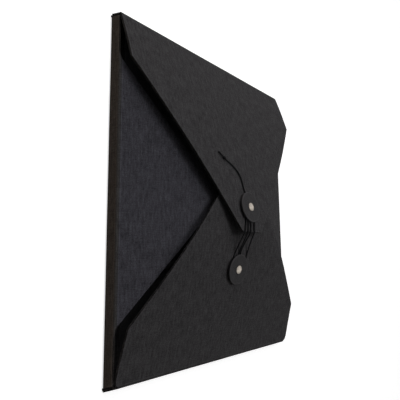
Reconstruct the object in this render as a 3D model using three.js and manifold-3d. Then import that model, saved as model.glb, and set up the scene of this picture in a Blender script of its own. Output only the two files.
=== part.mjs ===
// A button and string portfolio, closed and lying on its back.
// Millimetres. +Z points out of the front, +Y to the top edge and +X to the right edge.
// The origin is the middle of the back panel's outer face.

import * as THREE from 'three';
import { mergeVertices } from 'three/addons/utils/BufferGeometryUtils.js';
import Module from 'manifold-3d';

const wasm = await Module();
wasm.setup();

// Case
const caseHeight = 267;
const caseWidth = 218;
const wallHeight = 11.8;
const boardThickness = 1.8;
const clothThickness = 0.6;
const foldRadius = 1.6;
const topWallLeanAngle = 15;
const bottomWallLeanAngle = 17;
const pieceGap = 0.3;

// Lining sheets
const liningThickness = 0.35;
const liningCreaseMargin = 12;
const liningEdgeMargin = 4;

// Top flap: it rises from its crease, bows over the others and ends in a blunt tip
const topFlapLength = 162.2;
const topStraightLength = 40.9;
const topSideTaper = 0.3;
const topTipHalfWidth = 14;
const topCreaseAngle = 20.7;
const topMiddleAngle = 12.75;
const topTipAngle = 7;

// Bottom flap: its end is hidden under the top flap, a clearance below that flap's outer face
const bottomFlapLength = 136;
const bottomStraightLength = 39.4;
const bottomSideTaper = 2.7;
const bottomEndHalfWidth = 32.4;
const bottomCreaseAngle = 14.4;
const bottomEndAngle = 0;
const flapClearance = 4.65;

// Side flaps: they rise a little, start in from the corners, narrow inwards and leave a slot
const sideFlapSlot = 50;
const sideFlapAngle = 15.4;
const sideFlapShoulder = 28;
const sideFlapEndHalfWidth = 5.5;

// Closure
const rivetX = -2.4;
const topRivetFromTip = 20;
const bottomRivetFromCrease = 77.2;
const buttonRadius = 12.5;
const buttonThickness = 1.2;
const buttonLift = 2;
const postRadius = 1.3;
const collarRadius = 1.9;
const headRadius = 3.4;
const headHeight = 0.95;
const headRim = 0.25;
const washerRadius = 5;
const washerThickness = 0.6;
const clinchRadius = 3;
const clinchThickness = 0.5;
const runningGap = 0.2;

// Cord
const cordDiameter = 1.2;
const cordLift = 0.3;
const knotRadius = 1.25;
const knotLength = 2.8;
const cordEndLength = 5.6;
const cordEndRadius = 0.82;

// Fineness
const arcSteps = 6;
const flapSteps = 20;
const roundSegments = 36;

const degrees = THREE.MathUtils.degToRad;
const topRivetFromCrease = topFlapLength - topRivetFromTip;

// Materials
function cloth(color) {
  return new THREE.MeshStandardMaterial({ color, roughness: 0.85, metalness: 0 });
}

const coverCloth = cloth(0x38383a);
const hingeCloth = cloth(0x2c2a2b);
const liningPaper = cloth(0x242426);
const cordThread = cloth(0x0b0b0c);
const buttonFibre = new THREE.MeshStandardMaterial({ color: 0x303033, roughness: 0.5, metalness: 0 });
const rivetMetal = new THREE.MeshStandardMaterial({ color: 0xc8beb4, roughness: 0.3, metalness: 0.9 });

const portfolio = new THREE.Group();

function add(parent, name, geometry, material) {
  const mesh = new THREE.Mesh(geometry, material);
  mesh.name = name;
  parent.add(mesh);
  return mesh;
}

// Closed solids
function toSolid(geometry) {
  const bare = geometry.clone();
  bare.deleteAttribute('normal');
  bare.deleteAttribute('uv');
  const merged = mergeVertices(bare, 1e-4);
  const vertProperties = new Float32Array(merged.attributes.position.array);
  const triVerts = new Uint32Array(merged.index.array);
  return new wasm.Manifold(new wasm.Mesh({ numProp: 3, vertProperties, triVerts }));
}

function fromSolid(solid) {
  const mesh = solid.getMesh();
  const geometry = new THREE.BufferGeometry();
  geometry.setAttribute('position', new THREE.BufferAttribute(mesh.vertProperties, 3));
  geometry.setIndex(new THREE.BufferAttribute(mesh.triVerts, 1));
  return geometry;
}

function indexedGeometry(positions, index) {
  const geometry = new THREE.BufferGeometry();
  geometry.setAttribute('position', new THREE.Float32BufferAttribute(positions, 3));
  geometry.setIndex(index);
  return geometry;
}

// Rings of points joined into a closed body: each ring turns left-handed about the way ahead
function joinRings(rings) {
  const sides = rings[0].length;
  const index = [];
  for (let ring = 0; ring + 1 < rings.length; ring += 1) {
    for (let side = 0; side < sides; side += 1) {
      const here = ring * sides + side;
      const beside = ring * sides + (side + 1) % sides;
      index.push(beside, here, here + sides);
      index.push(beside, here + sides, beside + sides);
    }
  }
  const last = (rings.length - 1) * sides;
  for (let side = 1; side + 1 < sides; side += 1) {
    index.push(0, side, side + 1);
    index.push(last, last + side + 1, last + side);
  }
  const positions = rings.flat().flatMap((point) => point.toArray());
  return indexedGeometry(positions, index);
}

// A body turned about its own +Z, from a profile of [radius, height] pairs
function turned(profile, segments = roundSegments) {
  const points = profile.map(([radius, height]) => new THREE.Vector2(radius, height));
  return new THREE.LatheGeometry(points, segments).rotateX(Math.PI / 2);
}

function ringPlate(innerRadius, outerRadius, bottom, top) {
  return turned([
    [innerRadius, bottom],
    [outerRadius, bottom],
    [outerRadius, top],
    [innerRadius, top],
    [innerRadius, bottom],
  ]);
}

// One side of the case in its own frame: +Y points outward from the middle, X runs along the edge.
// Its section is a line of outer faces: back, fold, wall, fold, flap.
function makeSide({ half, leanAngle, creaseAngle, middleAngle, endAngle, flapLength }) {
  const lean = degrees(leanAngle);
  const wallWay = new THREE.Vector2(-Math.sin(lean), Math.cos(lean));
  const wallNormal = new THREE.Vector2(Math.cos(lean), Math.sin(lean));
  const backTurn = Math.PI / 2 + lean;
  const flapTurn = Math.PI / 2 - degrees(creaseAngle) - lean;
  const backCorner = new THREE.Vector2(half + foldRadius * (Math.tan(backTurn / 2) - 1), 0);
  const flapCorner = new THREE.Vector2(
    backCorner.x - wallHeight * Math.tan(lean),
    wallHeight,
  );

  // How far from a fold's corner the boards stop, so that they clear each other and the cloth
  function boardSetback(turn) {
    const clothRoom = foldRadius * Math.tan(turn / 2) + pieceGap;
    const boardRoom = boardThickness * Math.tan(turn / 2) + pieceGap / 2 / Math.cos(turn / 2);
    return Math.max(clothRoom, boardRoom);
  }

  // The flap's slope runs smoothly through its values at the crease, the middle and the end
  function flapSlope(distance) {
    const share = distance / flapLength;
    const bend = 2 * (creaseAngle - 2 * middleAngle + endAngle);
    const rate = endAngle - creaseAngle - bend;
    return degrees(creaseAngle + rate * share + bend * share * share);
  }

  // A point of the flap's outer face, at a distance from the crease, and the face's way out
  function flapFace(distance) {
    const parts = 40;
    const point = flapCorner.clone();
    for (let part = 0; part < parts; part += 1) {
      const slope = flapSlope(distance * (part + 0.5) / parts);
      point.x -= Math.cos(slope) * distance / parts;
      point.y += Math.sin(slope) * distance / parts;
    }
    const slope = flapSlope(distance);
    return { point, slope, normal: new THREE.Vector2(Math.sin(slope), Math.cos(slope)) };
  }

  // The height of the flap's outer face over a place in the case
  function heightOver(place) {
    let distance = flapCorner.x - place;
    for (let pass = 0; pass < 4; pass += 1) {
      distance += flapFace(distance).point.x - place;
    }
    return flapFace(distance).point.y;
  }

  const backSetback = boardSetback(backTurn);

  // How far outward a piece may reach at a height, inside the wall and under the flap
  function reach(height) {
    const insideFold = backCorner.x - backSetback;
    const insideWall = backCorner.x - height * Math.tan(lean) - boardThickness / Math.cos(lean);
    const crease = degrees(creaseAngle);
    const rise = height + pieceGap - wallHeight + boardThickness / Math.cos(crease);
    const underFlap = flapCorner.x - rise / Math.tan(crease);
    return Math.min(insideFold, insideWall - pieceGap, underFlap);
  }

  return {
    lean,
    wallWay,
    wallNormal,
    backTurn,
    flapTurn,
    backCorner,
    flapCorner,
    backSetback,
    flapSetback: boardSetback(flapTurn),
    flapLength,
    flapFace,
    heightOver,
    reach,
  };
}

const topSide = makeSide({
  half: caseHeight / 2,
  leanAngle: topWallLeanAngle,
  creaseAngle: topCreaseAngle,
  middleAngle: topMiddleAngle,
  endAngle: topTipAngle,
  flapLength: topFlapLength,
});

// The bottom flap's middle slope is the one that brings its end under the top flap
function makeBottomSide() {
  const half = caseHeight / 2;
  const creaseAngle = bottomCreaseAngle;
  let middleAngle = creaseAngle;
  let side;
  for (let pass = 0; pass < 8; pass += 1) {
    side = makeSide({
      half,
      leanAngle: bottomWallLeanAngle,
      creaseAngle,
      middleAngle,
      endAngle: bottomEndAngle,
      flapLength: bottomFlapLength,
    });
    const end = side.flapFace(bottomFlapLength).point;
    const tooLow = topSide.heightOver(-end.x) - flapClearance - end.y;
    middleAngle += THREE.MathUtils.radToDeg(1.5 * tooLow / bottomFlapLength);
  }
  return side;
}

const bottomSide = makeBottomSide();

const flankSide = makeSide({
  half: caseWidth / 2,
  leanAngle: 0,
  creaseAngle: sideFlapAngle,
  middleAngle: sideFlapAngle,
  endAngle: sideFlapAngle,
  flapLength: (caseWidth - sideFlapSlot) / 2,
});

// A plate between two depths under its outer faces, through stations of point, normal and limits
function plate(stations, outerDepth, innerDepth) {
  const rings = stations.map(({ point, normal, low, high }) => {
    const outer = point.clone().addScaledVector(normal, -outerDepth);
    const inner = point.clone().addScaledVector(normal, -innerDepth);
    return [
      new THREE.Vector3(low, outer.x, outer.y),
      new THREE.Vector3(high, outer.x, outer.y),
      new THREE.Vector3(high, inner.x, inner.y),
      new THREE.Vector3(low, inner.x, inner.y),
    ];
  });
  return joinRings(rings);
}

// The wall board, between its two folds
function wallPlate(side, limits) {
  const start = side.backSetback;
  const wallLength = wallHeight / Math.cos(side.lean);
  const stations = [start, wallLength - side.flapSetback].map((distance) => {
    const point = side.backCorner.clone().addScaledVector(side.wallWay, distance);
    return { point, normal: side.wallNormal, ...limits(point.y) };
  });
  return plate(stations, 0, boardThickness);
}

// The stations of a cloth hinge: a round fold with a straight lip on each side
function hingeStations(corner, fromAngle, turn, reachBack, reachOn, limits) {
  const middle = fromAngle + turn / 2;
  const centreDistance = foldRadius / Math.cos(turn / 2);
  const centre = corner.clone();
  centre.x -= centreDistance * Math.cos(middle);
  centre.y -= centreDistance * Math.sin(middle);
  const stations = [];
  const push = (point, normal) => {
    stations.push({ point, normal, ...limits(point.y) });
  };
  push(reachBack, new THREE.Vector2(Math.cos(fromAngle), Math.sin(fromAngle)));
  for (let step = 0; step <= arcSteps; step += 1) {
    const angle = fromAngle + turn * step / arcSteps;
    const normal = new THREE.Vector2(Math.cos(angle), Math.sin(angle));
    push(centre.clone().addScaledVector(normal, foldRadius), normal);
  }
  const toAngle = fromAngle + turn;
  push(reachOn, new THREE.Vector2(Math.cos(toAngle), Math.sin(toAngle)));
  return stations;
}

function backHinge(side, limits) {
  const lip = side.backSetback - pieceGap;
  const onBack = new THREE.Vector2(side.backCorner.x - lip, 0);
  const onWall = side.backCorner.clone().addScaledVector(side.wallWay, lip);
  const stations = hingeStations(side.backCorner, -Math.PI / 2, side.backTurn, onBack, onWall, limits);
  return plate(stations, 0, clothThickness);
}

function flapHinge(side, limits) {
  const lip = side.flapSetback - pieceGap;
  const onWall = side.flapCorner.clone().addScaledVector(side.wallWay, -lip);
  const onFlap = side.flapFace(lip).point;
  const stations = hingeStations(side.flapCorner, side.lean, side.flapTurn, onWall, onFlap, limits);
  return plate(stations, 0, clothThickness);
}

// The stations of a flap between two distances from its crease
function flapStations(side, from, to, limits, breaks = []) {
  const distances = [...breaks];
  for (let step = 0; step <= flapSteps; step += 1) {
    distances.push(from + (to - from) * step / flapSteps);
  }
  const kept = distances.filter((distance) => distance >= from && distance <= to);
  kept.sort((a, b) => a - b);
  const spaced = kept.filter((distance, place) => place === 0 || distance - kept[place - 1] > 0.01);
  return spaced.map((distance) => {
    const face = side.flapFace(distance);
    return { point: face.point, normal: face.normal, ...limits(distance) };
  });
}

// Half the width of an outer flap at a distance from its crease: nearly straight, then slanted
function outerFlapHalfWidth(shape, distance) {
  if (distance <= shape.straight) {
    return caseWidth / 2 - shape.taper * distance / shape.straight;
  }
  const share = (distance - shape.straight) / (shape.length - shape.straight);
  return THREE.MathUtils.lerp(caseWidth / 2 - shape.taper, shape.endHalfWidth, share);
}

const topShape = {
  length: topFlapLength,
  straight: topStraightLength,
  taper: topSideTaper,
  endHalfWidth: topTipHalfWidth,
};

const bottomShape = {
  length: bottomFlapLength,
  straight: bottomStraightLength,
  taper: bottomSideTaper,
  endHalfWidth: bottomEndHalfWidth,
};

const liningDepth = boardThickness + pieceGap;
const liningInside = liningDepth + liningThickness;

// A hole for a rivet's post through a flap or its lining
function drill(geometry, place) {
  const hole = new THREE.CylinderGeometry(postRadius + pieceGap, postRadius + pieceGap, 4 * liningInside, roundSegments);
  hole.rotateX(Math.PI / 2).applyMatrix4(place);
  return fromSolid(toSolid(geometry).subtract(toSolid(hole)));
}

// Where a rivet stands in its side's frame: on the flap's face, square to it
function rivetPlace(side, fromCrease, x) {
  const face = side.flapFace(fromCrease);
  const place = new THREE.Matrix4().makeRotationX(-face.slope);
  return place.setPosition(x, face.point.x, face.point.y);
}

// A rivet with a collar that keeps the disc off the flap, its disc and its washer
function addClosure(parent, name, place) {
  const closure = new THREE.Group();
  closure.applyMatrix4(place);
  parent.add(closure);

  const washerTop = -liningInside - pieceGap;
  const washerBottom = washerTop - washerThickness;
  const clinchTop = washerBottom - runningGap;
  const buttonTop = buttonLift + buttonThickness;
  const headBottom = buttonTop + runningGap;
  const profile = [
    [0, clinchTop - clinchThickness],
    [clinchRadius, clinchTop - clinchThickness],
    [clinchRadius, clinchTop],
    [postRadius, clinchTop],
    [postRadius, pieceGap],
    [collarRadius, pieceGap],
    [collarRadius, buttonLift - runningGap],
    [postRadius, buttonLift - runningGap],
    [postRadius, headBottom],
    [headRadius, headBottom],
    [headRadius, headBottom + headRim],
  ];
  const domeSteps = 5;
  for (let step = 1; step <= domeSteps; step += 1) {
    const angle = Math.PI / 2 * step / domeSteps;
    const radius = step === domeSteps ? 0 : headRadius * Math.cos(angle);
    profile.push([radius, headBottom + headRim + (headHeight - headRim) * Math.sin(angle)]);
  }
  add(closure, `${name}_rivet`, turned(profile), rivetMetal);
  const disc = ringPlate(postRadius + pieceGap, buttonRadius, buttonLift, buttonTop);
  add(closure, `${name}_button`, disc, buttonFibre);
  const washer = ringPlate(postRadius + pieceGap, washerRadius, washerBottom, washerTop);
  add(closure, `${name}_washer`, washer, rivetMetal);
}

// The top or bottom side: wall, hinges, slanted flap, lining and closure
function addOuterSide(name, side, shape, turn, rivetFromCrease) {
  const group = new THREE.Group();
  group.rotation.z = turn;
  portfolio.add(group);
  const localRivetX = rivetX * Math.cos(turn);
  const place = rivetPlace(side, rivetFromCrease, localRivetX);

  const full = () => ({ low: -caseWidth / 2, high: caseWidth / 2 });
  add(group, `${name}_wall`, wallPlate(side, full), coverCloth);
  add(group, `${name}_back_hinge`, backHinge(side, full), hingeCloth);
  add(group, `${name}_flap_hinge`, flapHinge(side, full), hingeCloth);

  const slanted = (distance) => {
    const halfWidth = outerFlapHalfWidth(shape, distance);
    return { low: -halfWidth, high: halfWidth };
  };
  const board = flapStations(side, side.flapSetback, shape.length, slanted, [shape.straight]);
  add(group, `${name}_flap`, drill(plate(board, 0, boardThickness), place), coverCloth);

  const slant = (caseWidth / 2 - shape.taper - shape.endHalfWidth) / (shape.length - shape.straight);
  const slantMargin = liningEdgeMargin * Math.hypot(1, slant);
  const inset = (distance) => {
    const straightLimit = caseWidth / 2 - shape.taper - liningEdgeMargin;
    const halfWidth = Math.min(straightLimit, outerFlapHalfWidth(shape, distance) - slantMargin);
    return { low: -halfWidth, high: halfWidth };
  };
  const end = shape.length - liningEdgeMargin;
  const bend = shape.straight - (slantMargin - liningEdgeMargin) / slant;
  const sheet = flapStations(side, liningCreaseMargin, end, inset, [bend, shape.straight]);
  add(group, `${name}_flap_lining`, drill(plate(sheet, liningDepth, liningInside), place), liningPaper);
  addClosure(group, name, place);
}

addOuterSide('top', topSide, topShape, 0, topRivetFromCrease);
addOuterSide('bottom', bottomSide, bottomShape, Math.PI, bottomRivetFromCrease);

// The left or right side: wall, hinges, slanted flap and lining, inside the outer two
function addFlankSide(name, turn, lowSide, highSide) {
  const group = new THREE.Group();
  group.rotation.z = turn;
  portfolio.add(group);

  const between = (height) => ({ low: -lowSide.reach(height), high: highSide.reach(height) });
  add(group, `${name}_wall`, wallPlate(flankSide, between), coverCloth);
  add(group, `${name}_back_hinge`, backHinge(flankSide, between), hingeCloth);
  const shouldered = (height) => ({
    low: sideFlapShoulder - lowSide.reach(height),
    high: highSide.reach(height) - sideFlapShoulder,
  });
  add(group, `${name}_flap_hinge`, flapHinge(flankSide, shouldered), hingeCloth);

  // How far the flap reaches to one side, at a distance from its crease and inside its slanted edge
  const slantedReach = (side, distance, margin) => {
    const crease = side.reach(wallHeight) - sideFlapShoulder;
    const slant = (crease - sideFlapEndHalfWidth) / flankSide.flapLength;
    return crease - slant * distance - margin * Math.hypot(1, slant);
  };
  const mitred = (distance, margin = 0) => ({
    low: -slantedReach(lowSide, distance, margin),
    high: slantedReach(highSide, distance, margin),
  });
  const board = [flankSide.flapSetback, flankSide.flapLength].map((distance) => {
    const face = flankSide.flapFace(distance);
    return { point: face.point, normal: face.normal, ...mitred(distance) };
  });
  add(group, `${name}_flap`, plate(board, 0, boardThickness), coverCloth);

  const ends = [liningCreaseMargin, flankSide.flapLength - liningEdgeMargin];
  const sheet = ends.map((distance) => {
    const face = flankSide.flapFace(distance);
    return { point: face.point, normal: face.normal, ...mitred(distance, liningEdgeMargin) };
  });
  add(group, `${name}_flap_lining`, plate(sheet, liningDepth, liningInside), liningPaper);
}

addFlankSide('left', Math.PI / 2, bottomSide, topSide);
addFlankSide('right', -Math.PI / 2, topSide, bottomSide);

// The back panel and its lining
function addBackSheet(name, sideMargin, bottom, top, material) {
  const halfWidth = flankSide.backCorner.x - sideMargin(flankSide);
  const topEnd = topSide.backCorner.x - sideMargin(topSide);
  const bottomEnd = bottomSide.backCorner.x - sideMargin(bottomSide);
  const sheet = new THREE.BoxGeometry(2 * halfWidth, topEnd + bottomEnd, top - bottom);
  const mesh = add(portfolio, name, sheet, material);
  mesh.position.set(0, (topEnd - bottomEnd) / 2, (top + bottom) / 2);
}

addBackSheet('back_panel', (side) => side.backSetback, 0, boardThickness, coverCloth);
addBackSheet('back_lining', () => liningCreaseMargin, liningDepth, liningInside, liningPaper);

// Points on the outer flaps' faces: distance from the crease, place from the rivets' line, height
const cordHeight = cordDiameter / 2 + cordLift;

function onTopFlap(distance, x, height = cordHeight) {
  const face = topSide.flapFace(distance);
  const point = face.point.clone().addScaledVector(face.normal, height);
  return new THREE.Vector3(rivetX + x, point.x, point.y);
}

function onBottomFlap(distance, x, height = cordHeight) {
  const face = bottomSide.flapFace(distance);
  const point = face.point.clone().addScaledVector(face.normal, height);
  return new THREE.Vector3(rivetX + x, -point.x, point.y);
}

// The cord's winding: two loops round both rivets, down on the left and up on the right.
// Places are measured from the rivets' line, under the top disc's rim and at the flap's tip.
const anchorRadius = collarRadius + cordHeight - cordLift + pieceGap;
const strands = {
  first: { rim: -3.5, tip: -5.45, span: 0.4 },
  second: { rim: 0.45, tip: -1.85, span: 2.4 },
  third: { rim: -6.6, tip: -9.6, span: -4.95 },
  fourth: { rim: 5.2, tip: 3.35, span: 12 },
};
const topLoopRadius = 4.8;
const innerLoopRadius = anchorRadius;
const outerLoopRadius = 9.8;
const loopArcSteps = 6;
const tipBendRadius = 3;
const landing = bottomRivetFromCrease + buttonRadius + 1.6;

// A strand from the top disc's lower rim, over the flap's tip, down to the bottom flap
function strandPoints({ rim, tip, span }) {
  const rimDistance = topRivetFromCrease + buttonRadius - 1;
  const land = onBottomFlap(landing, span);
  const face = topSide.flapFace(topFlapLength);
  const edge = new THREE.Vector3(rivetX + tip, face.point.x, face.point.y);
  const fall = Math.atan2(edge.z + cordHeight - land.z, edge.y - land.y) + face.slope;
  const points = [onTopFlap(rimDistance, rim)];
  for (const share of [0, 0.5, 1]) {
    const along = tipBendRadius * Math.sin(fall * share) - (tipBendRadius - cordHeight) * Math.sin(fall / 2);
    const above = tipBendRadius * Math.cos(fall * share) - (tipBendRadius - cordHeight) * Math.cos(fall / 2);
    const point = edge.clone();
    point.y += above * Math.sin(face.slope) - along * Math.cos(face.slope);
    point.z += above * Math.cos(face.slope) + along * Math.sin(face.slope);
    points.push(point);
  }
  points.push(land);
  return points;
}

// A round of the cord about a rivet, by its angle from +X towards the top edge
function roundRivet(place, fromCrease, sign, radius, from, to, steps) {
  const points = [];
  for (let step = 0; step <= steps; step += 1) {
    const angle = degrees(from + (to - from) * step / steps);
    points.push(place(fromCrease + sign * radius * Math.sin(angle), radius * Math.cos(angle)));
  }
  return points;
}

const roundTop = (radius, from, to, steps) =>
  roundRivet(onTopFlap, topRivetFromCrease, -1, radius, from, to, steps);
const roundBottom = (radius, from, to, steps) =>
  roundRivet(onBottomFlap, bottomRivetFromCrease, 1, radius, from, to, steps);

const anchorStart = 55;
const leadLength = cordDiameter;
const anchorTurn = roundTop(anchorRadius, anchorStart, 180, loopArcSteps - 1);
const anchorLead = new THREE.Vector3(
  Math.sin(degrees(anchorStart)),
  -Math.cos(degrees(anchorStart)),
  0,
);
anchorTurn.unshift(anchorTurn[0].clone().addScaledVector(anchorLead, leadLength));

// Where the winding leaves the top disc and the tail goes on
const windingExit = [
  [141, 6.7],
  [136.4, 4.9],
  [132.6, 1],
  [129.9, -1.55],
].map(([distance, x]) => onTopFlap(distance, x));
const exitWay = onTopFlap(129, -2.3).sub(windingExit.at(-1)).normalize();
windingExit.push(windingExit.at(-1).clone().addScaledVector(exitWay, leadLength));

const windingPoints = [
  ...anchorTurn,
  ...strandPoints(strands.first),
  ...roundBottom(innerLoopRadius, 180, 360, loopArcSteps),
  ...strandPoints(strands.second).reverse(),
  ...roundTop(topLoopRadius, 0, 180, loopArcSteps),
  ...strandPoints(strands.third),
  ...roundBottom(outerLoopRadius, 180, 360, loopArcSteps),
  ...strandPoints(strands.fourth).reverse(),
  ...windingExit,
];

// A tube of a few sides through a list of points
function tube(points, radius, sides) {
  const rings = [];
  const ways = points.map((point, place) => {
    const before = points[Math.max(place - 1, 0)];
    const after = points[Math.min(place + 1, points.length - 1)];
    return after.clone().sub(before).normalize();
  });
  const normal = new THREE.Vector3(0, 0, 1);
  for (let place = 0; place < points.length; place += 1) {
    const way = ways[place];
    normal.addScaledVector(way, -normal.dot(way)).normalize();
    const beside = normal.clone().cross(way);
    const ring = [];
    for (let side = 0; side < sides; side += 1) {
      const angle = 2 * Math.PI * side / sides;
      const point = points[place].clone();
      point.addScaledVector(normal, radius * Math.cos(angle));
      point.addScaledVector(beside, radius * Math.sin(angle));
      ring.push(point);
    }
    rings.push(ring);
  }
  return joinRings(rings);
}

add(portfolio, 'cord_winding', tube(windingPoints, cordDiameter / 2, 6), cordThread);

// The winding's least gap to itself, between points more than a short stretch apart along it
function leastGap(points, diameter) {
  const fine = [];
  let travelled = 0;
  for (let place = 0; place + 1 < points.length; place += 1) {
    const length = points[place].distanceTo(points[place + 1]);
    const parts = Math.ceil(length / 0.25);
    for (let part = 0; part < parts; part += 1) {
      const point = points[place].clone().lerp(points[place + 1], part / parts);
      fine.push({ point, travelled: travelled + length * part / parts });
    }
    travelled += length;
  }
  let least = Infinity;
  for (const one of fine) {
    for (const other of fine) {
      if (other.travelled - one.travelled > 3 * diameter) {
        least = Math.min(least, one.point.distanceTo(other.point) - diameter);
      }
    }
  }
  return { least, travelled };
}

const winding = leastGap(windingPoints, cordDiameter);
console.log(`winding: least gap ${winding.least.toFixed(2)} mm, length ${winding.travelled.toFixed(1)} mm`);

// The cord's free tail, on the top flap, towards the upper left
const tailEnd = [104.1, -22.2];
const tailPoints = [
  windingExit.at(-1).clone().addScaledVector(exitWay, pieceGap),
  ...[
    [125.6, -2.9],
    [122.2, -3.4],
    [117.7, -4.3],
    [113.8, -6.3],
    [110.4, -9.6],
    [108.1, -13.1],
    [105.9, -17.1],
    [104.7, -20.2],
  ].map(([distance, x]) => onTopFlap(distance, x)),
  onTopFlap(...tailEnd, cordHeight + 0.4),
];
const tailCurve = new THREE.CatmullRomCurve3(tailPoints, false, 'centripetal');
const cordSection = new THREE.Shape();
for (let corner = 0; corner < 8; corner += 1) {
  const angle = 2 * Math.PI * corner / 8;
  const x = cordDiameter / 2 * Math.cos(angle);
  const y = cordDiameter / 2 * Math.sin(angle);
  if (corner === 0) {
    cordSection.moveTo(x, y);
  } else {
    cordSection.lineTo(x, y);
  }
}
const tail = new THREE.ExtrudeGeometry(cordSection, {
  steps: 20,
  curveSegments: 1,
  bevelEnabled: false,
  extrudePath: tailCurve,
});
add(portfolio, 'cord_tail', tail, cordThread);

// The knot at the tail's end and the thickened loose end past it
const knotWay = onTopFlap(99.9, -28.6).sub(onTopFlap(...tailEnd)).normalize();

function addAlongKnot(name, start, profile) {
  const bead = turned(profile, 12);
  const mesh = add(portfolio, name, bead, cordThread);
  mesh.quaternion.setFromUnitVectors(new THREE.Vector3(0, 0, 1), knotWay);
  mesh.position.copy(start);
}

const knotStart = tailPoints.at(-1).clone().addScaledVector(knotWay, pieceGap);
addAlongKnot('cord_knot', knotStart, [
  [0, 0],
  [0.6 * knotRadius, 0],
  [knotRadius, 0.3 * knotLength],
  [knotRadius, 0.65 * knotLength],
  [0.6 * knotRadius, knotLength],
  [0, knotLength],
]);
const endStart = knotStart.clone().addScaledVector(knotWay, knotLength + pieceGap);
addAlongKnot('cord_end', endStart, [
  [0, 0],
  [cordDiameter / 2, 0],
  [cordDiameter / 2, 0.4 * cordEndLength],
  [cordEndRadius, 0.9 * cordEndLength],
  [0.6 * cordEndRadius, cordEndLength],
  [0, cordEndLength],
]);

const tailLength = tailCurve.getLength();
const wholeCord = winding.travelled + tailLength + knotLength + cordEndLength + 3 * pieceGap;
console.log(`tail ${tailLength.toFixed(1)} mm, whole cord ${wholeCord.toFixed(1)} mm`);

export default portfolio;
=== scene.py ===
"""The finish of a button and string portfolio: covered boards, cloth hinges, discs, rivets and cord."""

import math

import bmesh
import bpy
from mathutils import Matrix, Vector


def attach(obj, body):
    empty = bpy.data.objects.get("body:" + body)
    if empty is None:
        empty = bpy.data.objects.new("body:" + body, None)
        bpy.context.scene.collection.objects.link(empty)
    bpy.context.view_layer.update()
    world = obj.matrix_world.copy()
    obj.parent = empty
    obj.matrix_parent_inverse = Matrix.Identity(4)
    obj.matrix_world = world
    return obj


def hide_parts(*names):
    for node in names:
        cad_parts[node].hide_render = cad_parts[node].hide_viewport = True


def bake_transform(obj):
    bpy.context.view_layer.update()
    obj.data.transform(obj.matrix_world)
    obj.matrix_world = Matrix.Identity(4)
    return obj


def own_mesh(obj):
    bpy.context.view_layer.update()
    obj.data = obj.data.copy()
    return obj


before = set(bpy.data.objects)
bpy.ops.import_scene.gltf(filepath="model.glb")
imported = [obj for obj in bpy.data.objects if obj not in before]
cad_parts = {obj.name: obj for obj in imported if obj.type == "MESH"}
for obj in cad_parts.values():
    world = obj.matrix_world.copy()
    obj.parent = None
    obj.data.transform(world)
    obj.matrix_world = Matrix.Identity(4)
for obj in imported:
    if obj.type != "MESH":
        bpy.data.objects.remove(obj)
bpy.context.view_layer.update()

MM = 0.001

# Case, in millimetres, as the solids have it
CASE_HEIGHT = 267.0
CASE_WIDTH = 218.0
WALL_HEIGHT = 11.8
BOARD_THICKNESS = 1.8
CLOTH_THICKNESS = 0.6
FOLD_RADIUS = 1.6
PIECE_GAP = 0.3
LINING_TOP = 1.9
LINING_BOTTOM = 2.45
LINING_CREASE_MARGIN = 12.0
LINING_EDGE_MARGIN = 4.0
SIDE_FLAP_SLOT = 50.0
SIDE_FLAP_ANGLE = 15.4
SIDE_FLAP_SHOULDER = 28.0
SIDE_FLAP_END_HALF_WIDTH = 5.5

# Closure
RIVET_X = -2.4
TOP_RIVET = 142.2
BOTTOM_RIVET = 77.2
BUTTON_RADIUS = 12.5
BUTTON_THICKNESS = 1.2
BUTTON_LIFT = 2.0
POST_RADIUS = 1.3
COLLAR_RADIUS = 1.9
HEAD_RADIUS = 3.4
HEAD_DOME = 0.3
DISC_TILT = 2.2
WASHER_RADIUS = 5.0
WASHER_THICKNESS = 0.6
CLINCH_RADIUS = 3.0
RUNNING_GAP = 0.2

# Heights over a flap's outer face, and the radius of the holes round a post
BUTTON_TOP = BUTTON_LIFT + BUTTON_THICKNESS
WASHER_TOP = -LINING_BOTTOM - PIECE_GAP
WASHER_BOTTOM = WASHER_TOP - WASHER_THICKNESS
POST_HOLE = POST_RADIUS + PIECE_GAP

# Cord
CORD_DIAMETER = 1.2
CORD_HEIGHT = 0.9
CORD_LAY = 3.4
KNOT_LENGTH = 2.8
KNOT_TURNS = 2.4
KNOT_STEPS = 60
KNOT_TURN_RADIUS = 0.5
KNOT_WIND_RADIUS = 0.62
KNOT_SWELL = 0.1
KNOT_CORE_RADIUS = 0.45
CORD_END_LENGTH = 5.6

# The photograph's camera, in metres, with its right, up and back directions
CAMERA_PLACE = (-0.28339, -0.05265, 0.23549)
CAMERA_RIGHT = (0.65243, -0.01092, 0.75778)
CAMERA_UP = (-0.11014, 0.98791, 0.10906)
CAMERA_BACK = (-0.74981, -0.15461, 0.64334)
CAMERA_LENS = 37.37
CAMERA_SENSOR = 36.0


def make_camera():
    data = bpy.data.cameras.new("camera")
    data.lens = CAMERA_LENS
    data.sensor_width = CAMERA_SENSOR
    data.clip_start = 0.01
    camera = bpy.data.objects.new("camera", data)
    columns = [Vector(CAMERA_RIGHT), Vector(CAMERA_UP), Vector(CAMERA_BACK)]
    turn = Matrix([[column[row] for column in columns] for row in range(3)])
    camera.matrix_world = Matrix.Translation(CAMERA_PLACE) @ turn.to_4x4()
    bpy.context.scene.collection.objects.link(camera)
    bpy.context.scene.camera = camera


make_camera()


# How far each side's corners are rounded, at its flap's fold and at the back
FOLD_END_RADIUS = {"top": 1.8, "bottom": 7.0, "left": 0, "right": 0}
BACK_END_RADIUS = {"top": 1.2, "bottom": 0.8, "left": 0, "right": 0}

# A flap's bow is summed from this many straight parts
BOW_PARTS = 40


def rounding(radius, distance):
    """How far a round edge has drawn in at a distance from the end."""
    if distance >= radius:
        return 0.0
    return radius - math.sqrt(max(radius ** 2 - (radius - distance) ** 2, 0))


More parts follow.
